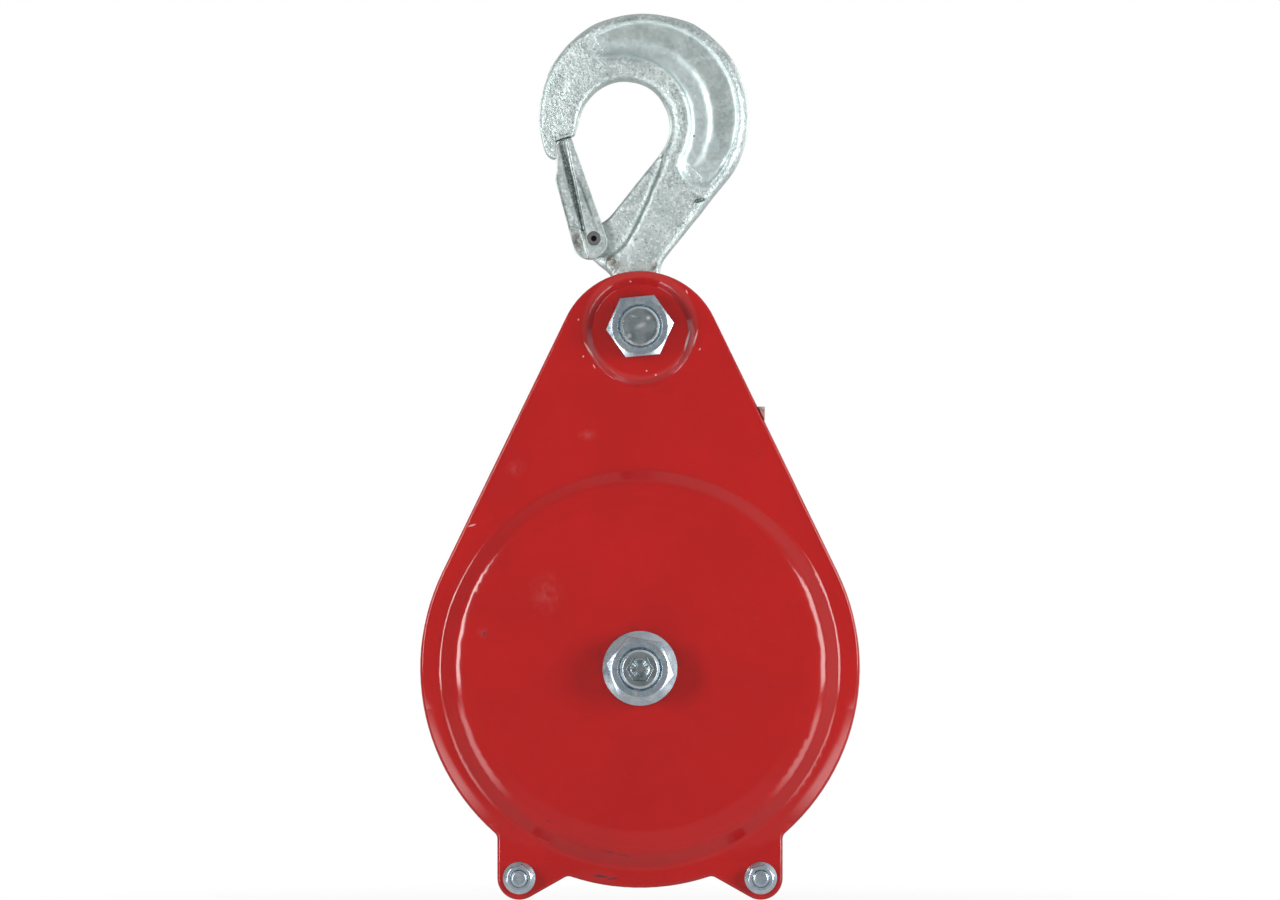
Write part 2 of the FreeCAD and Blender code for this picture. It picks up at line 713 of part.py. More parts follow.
def hook_thickness():
    """Envelope of the hook's thickness, thin at the eye and the tip, thick at the bowl."""
    eye = EYE_T / 2
    shank = SHANK_T / 2
    bowl = BOWL_T / 2
    tip = TIP_T / 2
    heights = [
        (-FAR / 4, eye),
        (EYE_T_UP, eye),
        (SHANK_T_UP, shank),
        (BOWL_T_UP, bowl),
        (FAR, bowl),
    ]
    rear = [Vec(0, depth, EYE.z + up) for up, depth in heights]
    front = [Vec(0, -depth, EYE.z + up) for up, depth in reversed(heights)]
    by_height = Part.Face(loop(*rear, *front)).extrude(Vec(FAR, 0, 0))
    by_height.translate(Vec(-FAR / 2, 0, 0))
    tip_x = HOOK_BACK.x - BACK_R
    plan = loop(
        Vec(tip_x, tip, 0),
        Vec(TIP_TAPER_SIDE, bowl, 0),
        Vec(FAR, bowl, 0),
        Vec(FAR, -bowl, 0),
        Vec(TIP_TAPER_SIDE, -bowl, 0),
        Vec(tip_x, -tip, 0),
    )
    by_side = Part.Face(plan).extrude(UP * (2 * FAR))
    by_side.translate(UP * -FAR)
    return by_height.common(by_side)


def lug_sides():
    """Thinned band beside the latch's legs: all that lies between a curve and the throat."""
    top = EYE + Vec(BAND_TOP[0], 0, BAND_TOP[1])
    upper = EYE + Vec(BAND_UPPER[0], 0, BAND_UPPER[1])
    middle = EYE + Vec(BAND_MIDDLE[0], 0, BAND_MIDDLE[1])
    lower = EYE + Vec(BAND_LOWER[0], 0, BAND_LOWER[1])
    low = EYE + Vec(BAND_LOW[0], 0, BAND_LOW[1])
    wire = loop(
        top,
        (upper, middle),
        (lower, low),
        Vec(low.x, 0, EYE.z + EYE_R),
        Vec(PIN.x - 2 * LUG_R, 0, EYE.z + EYE_R),
        Vec(PIN.x - 2 * LUG_R, 0, PIN.z + LUG_R + LUG_BLEND),
        Vec(BOWL.x, 0, top.z),
    )
    return prism(wire, LUG_T / 2, FAR).fuse(prism(wire, -FAR, -LUG_T / 2))


def crescent_hollow():
    """Crescent between two circles that aren't concentric, with rounded ends."""
    inner = EYE + Vec(HOLLOW_INNER_SIDE, 0, HOLLOW_INNER_UP)
    start = HOOK_BACK + unit(HOLLOW_START) * HOLLOW_R
    end = HOOK_BACK + unit(HOLLOW_END) * HOLLOW_R
    inner_start = inner + unit(HOLLOW_INNER_START) * HOLLOW_INNER_R
    inner_end = inner + unit(HOLLOW_INNER_END) * HOLLOW_INNER_R
    start_cap = (start + inner_start) * 0.5 - Vec(HOLLOW_CAP, 0, 0)
    end_cap = (end + inner_end) * 0.5 - unit(SHANK_LEAN) * HOLLOW_END_CAP
    outer_top = HOOK_BACK + unit((HOLLOW_START + HOLLOW_END) / 2) * HOLLOW_R
    inner_top = inner + unit((HOLLOW_INNER_START + HOLLOW_INNER_END) / 2) * HOLLOW_INNER_R
    wire = loop(
        start,
        (outer_top, end),
        (end_cap, inner_end),
        (inner_top, inner_start),
        (start_cap, start),
    )
    face = BOWL_T / 2
    floor = face - HOLLOW_DEEP
    channel = prism(wire, floor, FAR).cut(prism(raised_field(), floor, face - FIELD_DEEP))
    return channel.fuse(channel.mirror(Vec(0, 0, 0), BACK))


def raised_field():
    """Outline of the field that stands up in the hollow, from its ridge out past the hollow's rim."""
    middle = EYE + Vec(FIELD_SIDE, 0, FIELD_UP)
    tip = middle + unit(FIELD_START) * FIELD_R
    low_tip = middle + unit(FIELD_END) * FIELD_R
    ridge = middle + unit((FIELD_START + FIELD_END) / 2) * FIELD_R
    low_fade = HOOK_BACK + unit(FIELD_LOW_FADE) * BACK_R
    top_fade = HOOK_BACK + unit(FIELD_TOP_FADE) * BACK_R
    outside = HOOK_BACK + unit((FIELD_TOP_FADE + FIELD_LOW_FADE) / 2) * BACK_R
    return loop(tip, (ridge, low_tip), low_fade, (outside, top_fade))


def latch_frame(ahead, aside):
    """Point given along the closed latch from its pin, and to the right of that line."""
    lean = math.radians(LATCH_LEAN)
    along = Vec(-math.sin(lean), 0, math.cos(lean))
    right = Vec(math.cos(lean), 0, math.sin(lean))
    return PIN + along * ahead + right * aside


def latch_notch():
    """Space that the latch's tip and its left edge take from the hook's tip."""
    corner = loop(LIP, LIP + Vec(BACK_R, 0, 0), LIP + Vec(BACK_R, 0, -FAR), LIP - UP * FAR)
    tip_only = loop(
        LIP + Vec(-1, 0, 1),
        latch_frame(LATCH_REACH, 3 * LATCH_TIP_W),
        latch_frame(LATCH_BACK_TO, 0),
        LIP - UP * LATCH_REACH,
    )
    return prism(corner, -FAR, FAR).common(prism(tip_only, -FAR, FAR))


def spring_room():
    """Slot in the hook's lug for the spring, open towards the latch."""
    half = SPRING_SLOT_W / 2
    slot_top = SPRING_ARM + SPRING_WIRE_D
    mouth = loop(
        latch_frame(slot_top, SPRING_SLOT_R),
        latch_frame(0, SPRING_SLOT_R),
        latch_frame(0, 0),
        latch_frame(-SPRING_SLOT_R, 0),
        latch_frame(-SPRING_SLOT_R, -2 * LUG_R),
        latch_frame(slot_top, -2 * LUG_R),
    )
    return disc(PIN, SPRING_SLOT_R, -half, half).fuse(prism(mouth, -half, half))


def make_hook():
    """Forged hook with a bored eye, a notched tip and a slotted lug for the latch."""
    body = prism(hook_outline(), -BOWL_T / 2, BOWL_T / 2)
    rims = edges_at_depth(body, BOWL_T / 2) + edges_at_depth(body, -BOWL_T / 2)
    body = body.makeFillet(HOOK_ROUND, rims).common(hook_thickness())
    body = body.cut(lug_sides()).cut(crescent_hollow())
    body = body.cut(latch_notch()).cut(spring_room())
    body = body.cut(disc(PIN, PIN_D / 2 + SEATED, -FAR, FAR))
    return body.cut(disc(EYE, HOOK_BUSH_R + RUNNING, -FAR, FAR))


def latch_wedge(heel_half, tip_half):
    """Envelope that narrows from the latch's heel to its tip."""
    across = 2 * LATCH_HEEL_R
    past_tip = 2 * LATCH_REACH
    taper = loop(
        Vec(0, heel_half, -across),
        Vec(0, heel_half, LATCH_TAPER_FROM),
        Vec(0, tip_half, LATCH_REACH),
        Vec(0, tip_half, past_tip),
        Vec(0, -tip_half, past_tip),
        Vec(0, -tip_half, LATCH_REACH),
        Vec(0, -heel_half, LATCH_TAPER_FROM),
        Vec(0, -heel_half, -across),
    )
    wedge = Part.Face(taper).extrude(Vec(2 * across, 0, 0))
    wedge.translate(Vec(-across, 0, 0))
    wedge.rotate(Vec(0, 0, 0), BACK, -LATCH_LEAN)
    wedge.translate(PIN)
    return wedge


def latch_outline():
    """Closed outline of the latch, its tip round about the pin and its left edge at the lip."""
    heel = latch_frame(-LATCH_HEEL_DROP, LATCH_HEEL_SIDE)
    lean = 90 + LATCH_LEAN
    left_foot = heel + unit(lean + 90) * LATCH_HEEL_R
    right_foot = heel + unit(lean - 90) * LATCH_HEEL_R
    lip_x = LIP.x + STOP_GAP
    back_top = latch_frame(LATCH_BACK_TO, LATCH_BACK)
    lip_low = Vec(lip_x, 0, back_top.z + (lip_x - back_top.x) + 2 * LATCH_CORNER)
    lip_run = PIN.x - lip_x
    shoulder_run = lip_run - LATCH_CORNER
    lip_high = Vec(lip_x, 0, PIN.z + math.sqrt(LATCH_REACH ** 2 - lip_run ** 2) - LATCH_CORNER)
    shoulder = Vec(PIN.x - shoulder_run, 0, PIN.z + math.sqrt(LATCH_REACH ** 2 - shoulder_run ** 2))
    tip_right = latch_frame(math.sqrt(LATCH_REACH ** 2 - LATCH_TIP_W ** 2), LATCH_TIP_W)
    return loop(
        left_foot,
        back_top,
        lip_low,
        lip_high,
        shoulder,
        (latch_frame(LATCH_REACH, 0), tip_right),
        right_foot,
        (heel + unit(lean + 180) * LATCH_HEEL_R, left_foot),
    )


def latch_grooves():
    """Long groove between two ribs on both faces of the latch, as deep along the whole taper."""
    half = LATCH_GROOVE_W / 2
    top = LATCH_REACH + 1
    outline = loop(
        latch_frame(LATCH_GROOVE_FROM, LATCH_GROOVE_SIDE + half),
        latch_frame(top, half),
        latch_frame(top, -half),
        latch_frame(LATCH_GROOVE_FROM, LATCH_GROOVE_SIDE - half),
        (
            latch_frame(LATCH_GROOVE_FROM - half, LATCH_GROOVE_SIDE),
            latch_frame(LATCH_GROOVE_FROM, LATCH_GROOVE_SIDE + half),
        ),
    )
    core = latch_wedge(LATCH_T / 2 - LATCH_GROOVE_DEEP, LATCH_TIP_T / 2 - LATCH_GROOVE_DEEP)
    return prism(outline, -LATCH_T, LATCH_T).cut(core)


def latch_steps():
    """What is forged away from both faces beside the pin, left of a line through the heel."""
    across = 2 * LATCH_HEEL_R
    outline = loop(
        latch_frame(LATCH_STEP_FROM, LATCH_STEP_SIDE),
        latch_frame(LATCH_STEP_FROM + LATCH_STEP_RISE, LATCH_BACK),
        latch_frame(LATCH_STEP_FROM + LATCH_STEP_RISE, -across),
        latch_frame(-across, -across),
        latch_frame(-across, LATCH_STEP_SIDE),
    )
    half = LATCH_T / 2
    floor = half - LATCH_STEP_DEEP
    return prism(outline, floor, half + 1).fuse(prism(outline, -half - 1, -floor))


def make_latch():
    """Forged latch: a web towards the lip and two legs astride the hook's lug."""
    body = prism(latch_outline(), -LATCH_T / 2, LATCH_T / 2)
    body = body.common(latch_wedge(LATCH_T / 2, LATCH_TIP_T / 2))
    slot_half = LUG_T / 2 + LATCH_FACE_GAP
    web = LUG_R + LATCH_FACE_GAP
    across = 2 * LATCH_HEEL_R
    slot = loop(
        latch_frame(-across, -web),
        latch_frame(LUG_R / 2, -web),
        latch_frame(LATCH_WEB_AT, LATCH_WEB_LOW),
        latch_frame(LATCH_BACK_TO, LATCH_WEB_HIGH),
        latch_frame(LATCH_BACK_TO, across),
        latch_frame(-across, across),
    )
    body = body.cut(prism(slot, -slot_half, slot_half)).cut(latch_grooves()).cut(latch_steps())
    return body.cut(disc(PIN, PIN_D / 2 + RUNNING, -FAR, FAR))


def make_latch_pin():
    """Pin through the latch's legs and the hook's lug, drilled at both ends to be spread."""
    half = LATCH_T / 2
    pin = disc(PIN, PIN_D / 2, -half, half)
    pin = pin.cut(disc(PIN, PIN_HOLE_D / 2, -half - 1, PIN_HOLE_DEEP - half))
    return pin.cut(disc(PIN, PIN_HOLE_D / 2, half - PIN_HOLE_DEEP, half + 1))


def make_latch_spring():
    """Torsion spring round the pin, one arm on the latch's web and one in the hook's slot."""
    along = latch_frame(1, 0) - PIN
    right = latch_frame(0, 1) - PIN
    length = SPRING_PITCH * SPRING_TURNS
    coil = Part.makeHelix(SPRING_PITCH, length, SPRING_R)
    rear = length / 2
    frame = FreeCAD.Matrix(
        -right.x, -along.x, 0, PIN.x,
        0, 0, -1, rear,
        -right.z, -along.z, 0, PIN.z,
        0, 0, 0, 1,
    )
    coil = coil.transformGeometry(frame)
    edge = coil.Edges[0]
    first = edge.valueAt(edge.FirstParameter)
    last = edge.valueAt(edge.LastParameter)
    first_way = edge.tangentAt(edge.FirstParameter)
    last_way = edge.tangentAt(edge.LastParameter)
    arm_start = first - first_way * SPRING_ARM
    path = Part.Wire([
        Part.LineSegment(arm_start, first).toShape(),
        edge,
        Part.LineSegment(last, last + last_way * SPRING_ARM).toShape(),
    ])
    section = Part.Wire(Part.makeCircle(SPRING_WIRE_D / 2, arm_start, first_way))
    return path.makePipeShell([section], True, True)


def save(name, shape):
    """Writes one piece in the part's own frame."""
    placed = shape.copy()
    placed.translate(LOAD_POINT * -1)
    placed.exportStep("parts/" + name + ".step")
    solids = len(placed.Solids)
    print(name, "solids", solids, "volume", round(placed.Volume), "valid", placed.isValid())


def build():
    """Makes every piece."""
    os.makedirs("parts", exist_ok=True)
    save("front_cheek", make_front_cheek())
    save("rear_cheek", make_rear_cheek())
    save("sheave", make_sheave())
    save("sheave_bush", make_sheave_bush())
    washer_in = HUB_W / 2 + AXIAL_PLAY
    save("thrust_washer_front", thrust_washer(-DISH_IN, -washer_in))
    save("thrust_washer_rear", thrust_washer(washer_in, DISH_IN))
    save("axle", make_axle())
    save("axle_flange_nut", make_axle_flange_nut())
    save("hook_bolt", make_hook_bolt())
    save("hook_bolt_nut", make_hook_bolt_nut())
    save("hook_bolt_washer", make_hook_bolt_washer())
    save("hook_bush", make_hook_bush())
    for word, side in (("left", -1), ("right", 1)):
        save("guard_bolt_" + word, guard_bolt(guard_place(side)))
        save("guard_sleeve_" + word, guard_sleeve(guard_place(side)))
        save("guard_nut_" + word, guard_nut(guard_place(side)))
    save("hook", make_hook())
    save("latch", make_latch())
    save("latch_pin", make_latch_pin())
    save("latch_spring", make_latch_spring())


build()
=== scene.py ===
import json
import math

import bpy
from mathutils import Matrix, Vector


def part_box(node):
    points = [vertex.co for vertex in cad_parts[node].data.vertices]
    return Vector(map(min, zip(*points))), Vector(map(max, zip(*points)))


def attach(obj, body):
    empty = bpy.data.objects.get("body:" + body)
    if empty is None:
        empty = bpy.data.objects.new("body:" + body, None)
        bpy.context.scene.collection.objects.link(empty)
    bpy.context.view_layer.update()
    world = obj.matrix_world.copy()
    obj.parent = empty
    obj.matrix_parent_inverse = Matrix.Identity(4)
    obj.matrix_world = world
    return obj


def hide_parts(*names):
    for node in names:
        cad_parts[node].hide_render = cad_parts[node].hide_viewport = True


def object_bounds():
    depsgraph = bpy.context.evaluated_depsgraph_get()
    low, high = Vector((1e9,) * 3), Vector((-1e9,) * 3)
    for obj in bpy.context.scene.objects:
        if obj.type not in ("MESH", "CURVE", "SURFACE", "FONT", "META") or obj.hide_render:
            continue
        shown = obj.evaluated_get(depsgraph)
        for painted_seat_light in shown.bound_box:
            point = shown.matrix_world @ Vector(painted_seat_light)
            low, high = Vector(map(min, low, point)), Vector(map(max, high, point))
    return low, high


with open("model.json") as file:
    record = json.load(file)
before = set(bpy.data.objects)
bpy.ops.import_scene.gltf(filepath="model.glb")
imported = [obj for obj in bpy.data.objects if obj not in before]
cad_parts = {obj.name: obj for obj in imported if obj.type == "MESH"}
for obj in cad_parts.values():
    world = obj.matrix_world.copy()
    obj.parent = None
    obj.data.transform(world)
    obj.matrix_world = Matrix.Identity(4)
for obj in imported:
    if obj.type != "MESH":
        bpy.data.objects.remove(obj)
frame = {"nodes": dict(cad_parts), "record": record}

# A hook block for 16 mm rope, dressed for a studio picture. Metres, +Z up, +X to the right
# and +Y away from someone who looks at the front cheek.
cad_low, cad_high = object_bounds()
nodes = frame["nodes"]
bodies = frame["record"]["behaviour"]["bodies"]
MM = 0.001


def centre_of(node):
    """Middle of a CAD node's box."""
    low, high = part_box(node)
    return (low + high) / 2


AXLE = centre_of("sheave")
BOLT = centre_of("hook_bush")
PIN = centre_of("latch_pin")


def beside(middle, side, up):
    """Place some millimetres to the right of another and up."""
    return middle + Vector((side, 0, up)) * MM


# Forged shape of the hook, in mm and degrees: the circles that bound the hollow in its faces
BOWL_THICK = 27.0
BACK_R = 64.5
BACK_MIDDLE = beside(BOLT, 2.4, 128.4)
CRESCENT_OUTER_R = 57.0
CRESCENT_INNER_MIDDLE = beside(BOLT, -10.5, 124.2)
CRESCENT_INNER_R = 42.0
CRESCENT_FROM = -47
CRESCENT_TO = 122
CRESCENT_EDGE = 3.0
CRESCENT_DEEP = 3.0
# The hollow's rounded ends: middle, half width, how far the end reaches, and the way it points
CRESCENT_ENDS = (
    (beside(BOLT, -25.6, 170.4), 6.7, 4.0, 199), (beside(BOLT, 33.6, 95), 11.3, 6.5, 223),
)
# Skin made lighter: a rim just outside the hollow's outline, which slings rub bright and which is also
# a painted highlight, and some of its channel, a painted highlight
RIM_OUTSIDE = 0.6
RIM_HALF = 1.92
RIM_FADE = 1.2
BRIGHT_DEEP = CRESCENT_DEEP + 0.8
CHANNEL_DEEP = CRESCENT_DEEP - 0.9
CHANNEL_SHARE = 0.6
# The hollow's floor has hardly any grain, from this depth on
FLOOR_DEEP = 0.7
FLOOR_GRAIN = 0.1

# How soft the forging is: less along the hollow, a little more at its ends, not at all at the lip
HOLLOW_SOFTNESS = 0.45
END_SOFTNESS = 0.7
END_BEFORE = -14
END_AFTER = 12
RUN_OUT_TURN = 118
RUN_OUT_HALF = 18
RUN_OUT_FADE = 8
RUN_OUT_ASIDE = 4
LIP = beside(BOLT, -47.6, 116)
LIP_KEPT = 14

# Lip's underside, beside and above the latch's pin, which comes down to the latch's sweep
LIP_LEFT = -23.5
LIP_RIGHT = -8
LIP_LOW = 62.5
LIP_HIGH = 74
LIP_FADE = 9
LIP_UP = 64.0
LATCH_SWEEP_R = 63.4
MOST_DROP = 4.5

# The CAD's hook is cut flat at its top, and a wider arch is drawn over that here
CROWN_FADE_FROM = 52
CROWN_FADE = 10
CROWN_UP = (cad_high.z - BACK_MIDDLE.z) / MM
CROWN_HALF = 30.0
CROWN_RISE = CROWN_UP - math.sqrt(BACK_R ** 2 - CROWN_HALF ** 2)
CROWN_R = (CROWN_HALF ** 2 + CROWN_RISE ** 2) / (2 * CROWN_RISE)

# Slopes of the front cheek that are only bump, in mm: radii from the axle and fall, and for the
# lean the heights from the axle over which it goes, above and below
BEND_FROM = 98
BEND_TO = 111
BEND_FALL = 1.5
LEAN_FROM = 122
LEAN_TO = 142
LEAN_FALL = 4
LEAN_FADES = ((25, -25), (-118, -95))
# Length of a mask along Y, so that it reaches through the whole block
ENDLESS = 1000

# Finishes, as sRGB
PAINT_RED = "#B01312"
PAINT_RED_DEEP = "#A81111"
PAINT_CHIP_AND_LIGHT = "#D9A7A5"
PAINT_DUST_AND_LIGHT = "#B96A66"
PAINT_RED_DARKER = "#6B1A16"
SCRATCH_DARK = "#332B38"
ZINC_BRIGHT = "#CDD8DD"
ZINC_BLUE = "#B2C1CF"
ZINC_DULL_AND_SHADE = "#6F7B80"
GALV_LIGHT = "#CBD7D5"
GALV_GREY = "#B0BEBD"
GALV_RUBBED_AND_LIT = "#E0F0F1"
GALV_DARK = "#4B5652"
GALV_FLANK_SHADE = "#7C8987"
RUST_TRACE = "#8A7466"
STEEL_TURNED = "#A3A4A2"
STEEL_DARK = "#54565A"
OIL_BLACK = "#17181A"
BRONZE = "#B98D4F"
STUDIO_WHITE = "#FFFFFF"
FLOOR_PALE = "#F2F2F0"


# Materials


def linear(hex_colour):
    """Linear colour of an sRGB hex value."""
    parts = [int(hex_colour[i:i + 2], 16) / 255 for i in (1, 3, 5)]
    return [c / 12.92 if c <= 0.04045 else ((c + 0.055) / 1.055) ** 2.4 for c in parts] + [1.0]


def add(tree, kind, inputs=None, **settings):
    """Adds a node with its settings and its sockets' values or links, and gives the node."""
    node = tree.nodes.new(kind)
    for name, value in settings.items():
        setattr(node, name, value)
    for name, value in (inputs or {}).items():
        if isinstance(value, bpy.types.Node):
            value = value.outputs[0]
        if isinstance(value, bpy.types.NodeSocket):
            tree.links.new(value, node.inputs[name])
        else:
            node.inputs[name].default_value = value
    return node


def start_material(name):
    """Empty material, its node tree and the point on the piece in the row's frame."""
    material = bpy.data.materials.new(name)
    material.use_nodes = True
    tree = material.node_tree
    tree.nodes.clear()
    point = add(tree, "ShaderNodeTexCoord").outputs["Object"]
    return material, tree, point


def patches(tree, point, size, low=0.35, high=0.65, to_low=0.0, to_high=1.0):
    """Cloudy patches that are some millimetres wide, as a mask or another range of values."""
    cloud = add(tree, "ShaderNodeTexNoise", {
        "Vector": point, "Scale": 1 / (size * MM), "Detail": 3.0, "Roughness": 0.6,
    })
    return add(tree, "ShaderNodeMapRange", {
        "Value": cloud, "From Min": low, "From Max": high, "To Min": to_low, "To Max": to_high,
    })


def off_line(tree, point, middle):
    """Distance of the point from a line along Y, in metres."""
    flat = add(tree, "ShaderNodeVectorMath", {0: point, 1: (1, 0, 1)}, operation="MULTIPLY")
    away = add(
        tree, "ShaderNodeVectorMath", {0: flat, 1: (middle.x, 0, middle.z)}, operation="DISTANCE"
    )
    return away.outputs["Value"]


def disc(tree, point, middle, edge_r, full_r):
    """Mask round a line along Y: 0 beyond one radius in millimetres and 1 within another."""
    return add(tree, "ShaderNodeMapRange", {
        "Value": off_line(tree, point, middle),
        "From Min": edge_r * MM, "From Max": full_r * MM,
    })


def smear(tree, point, middle, length, width, turn=0.0, full_share=0.4):
    """Oval mask on a face of the block, turned up from +X by some degrees."""
    placed = add(tree, "ShaderNodeMapping", {
        "Vector": point,
        "Location": (middle.x, 0, middle.z),
        "Rotation": (0, -math.radians(turn), 0),
        "Scale": (length * MM / 2, ENDLESS, width * MM / 2),
    }, vector_type="TEXTURE")
    reach = add(tree, "ShaderNodeVectorMath", {0: placed}, operation="LENGTH").outputs["Value"]
    return add(tree, "ShaderNodeMapRange", {
        "Value": reach, "From Min": 1.0, "From Max": full_share,
    })


def strongest(tree, masks):
    """Mask that is everywhere as strong as the strongest of several."""
    together = masks[0]
    for mask in masks[1:]:
        together = add(tree, "ShaderNodeMath", {0: together, 1: mask}, operation="MAXIMUM")
    return together


def laid_over(tree, under, over, mask, within=1.0):
    """Colour laid over another where a mask and what it lies within are strong."""
    share = add(tree, "ShaderNodeMath", {0: mask, 1: within}, operation="MULTIPLY")
    return add(tree, "ShaderNodeMix", {0: share, 6: under, 7: over}, data_type="RGBA").outputs[2]


def pressed_sheet(tree, point):
    """Slopes too slight to draw: a wide bend at the dish's top, and a flange that leans back."""
    away = off_line(tree, point, AXLE)
    bend, lean = (
        add(tree, "ShaderNodeMapRange", {
            "Value": away, "From Min": start * MM, "From Max": end * MM, "To Max": -fall * MM,
        }, interpolation_type="SMOOTHSTEP")
        for start, end, fall in (
            (BEND_FROM, BEND_TO, BEND_FALL), (LEAN_FROM, LEAN_TO, LEAN_FALL),
        )
    )
    place = add(tree, "ShaderNodeSeparateXYZ", {0: point})
    for outside, inside in LEAN_FADES:
        part = add(tree, "ShaderNodeMapRange", {
            "Value": place.outputs["Z"],
            "From Min": AXLE.z + outside * MM, "From Max": AXLE.z + inside * MM,
        })
        lean = add(tree, "ShaderNodeMath", {0: lean, 1: part}, operation="MULTIPLY")
    height = add(tree, "ShaderNodeMath", {0: lean, 1: bend}, operation="ADD")
    return add(tree, "ShaderNodeBump", {"Height": height, "Strength": 1.0, "Distance": 1.0})


def red_enamel(name, dusty, scratches, chips_and_light, bare):
    """Stoved gloss enamel on pressed sheet: a deep wet red with a faint orange peel."""
    material, tree, point = start_material(name)
    tone = patches(tree, point, 60)
    colour = laid_over(tree, linear(PAINT_RED), linear(PAINT_RED_DEEP), tone)
    dusty, scratched, chip_and_light_mask, rubbed = (
        strongest(tree, [
            smear(tree, point, beside(AXLE, side, up), long, wide, turn, full_share)
            for side, up, long, wide, turn in marks
        ])
        for marks, full_share in ((dusty, 0.0), (scratches, 0.4), (chips_and_light, 0.4), (bare, 0.8))
    )

    # Darker round each nut, and a painted highlight on the wall of the seat, which lightens its shade
    rings = [
        disc(tree, point, AXLE, edge_r=29, full_r=22),
        disc(tree, point, BOLT, edge_r=26, full_r=18),
    ]
    patchy = patches(tree, point, 9, to_high=0.5)
    colour = laid_over(tree, colour, linear(PAINT_RED_DARKER), strongest(tree, rings), patchy)
    painted_seat_light = add(tree, "ShaderNodeMath", {
        0: disc(tree, point, BOLT, edge_r=36, full_r=34),
        1: disc(tree, point, BOLT, edge_r=31, full_r=29),
    }, operation="SUBTRACT")
    colour = laid_over(tree, colour, linear(PAINT_DUST_AND_LIGHT), painted_seat_light, 0.14)

    # Dusty rubs are pale and faint, scratches dark, flaked spots and painted glints pale and sharp,
    # bare spots steel
    patchy = patches(tree, point, 4, to_high=0.25)
    colour = laid_over(tree, colour, linear(PAINT_DUST_AND_LIGHT), dusty, patchy)
    ragged = patches(tree, point, 1.5, 0.34, 0.46, to_high=0.9)
    colour = laid_over(tree, colour, linear(SCRATCH_DARK), scratched, ragged)
    colour = laid_over(tree, colour, linear(PAINT_CHIP_AND_LIGHT), chip_and_light_mask)
    colour = laid_over(tree, colour, linear(STEEL_TURNED), rubbed)

    peel = add(tree, "ShaderNodeTexNoise", {"Vector": point, "Scale": 1 / (2.6 * MM)})
    sway = add(tree, "ShaderNodeTexNoise", {"Vector": point, "Scale": 1 / (34 * MM)})
    skin = add(tree, "ShaderNodeMath", {0: peel, 1: 0.035, 2: sway}, operation="MULTIPLY_ADD")
    cut = add(
        tree, "ShaderNodeMath", {0: scratched, 1: -0.1, 2: skin}, operation="MULTIPLY_ADD"
    )
    bump = add(tree, "ShaderNodeBump", {
        "Height": cut, "Strength": 0.5, "Distance": 0.3 * MM, "Normal": pressed_sheet(tree, point),
    })
    shader = add(tree, "ShaderNodeBsdfPrincipled", {
        "Base Color": colour, "Roughness": 0.12, "Normal": bump,
    })
    add(tree, "ShaderNodeOutputMaterial", {"Surface": shader})
    return material


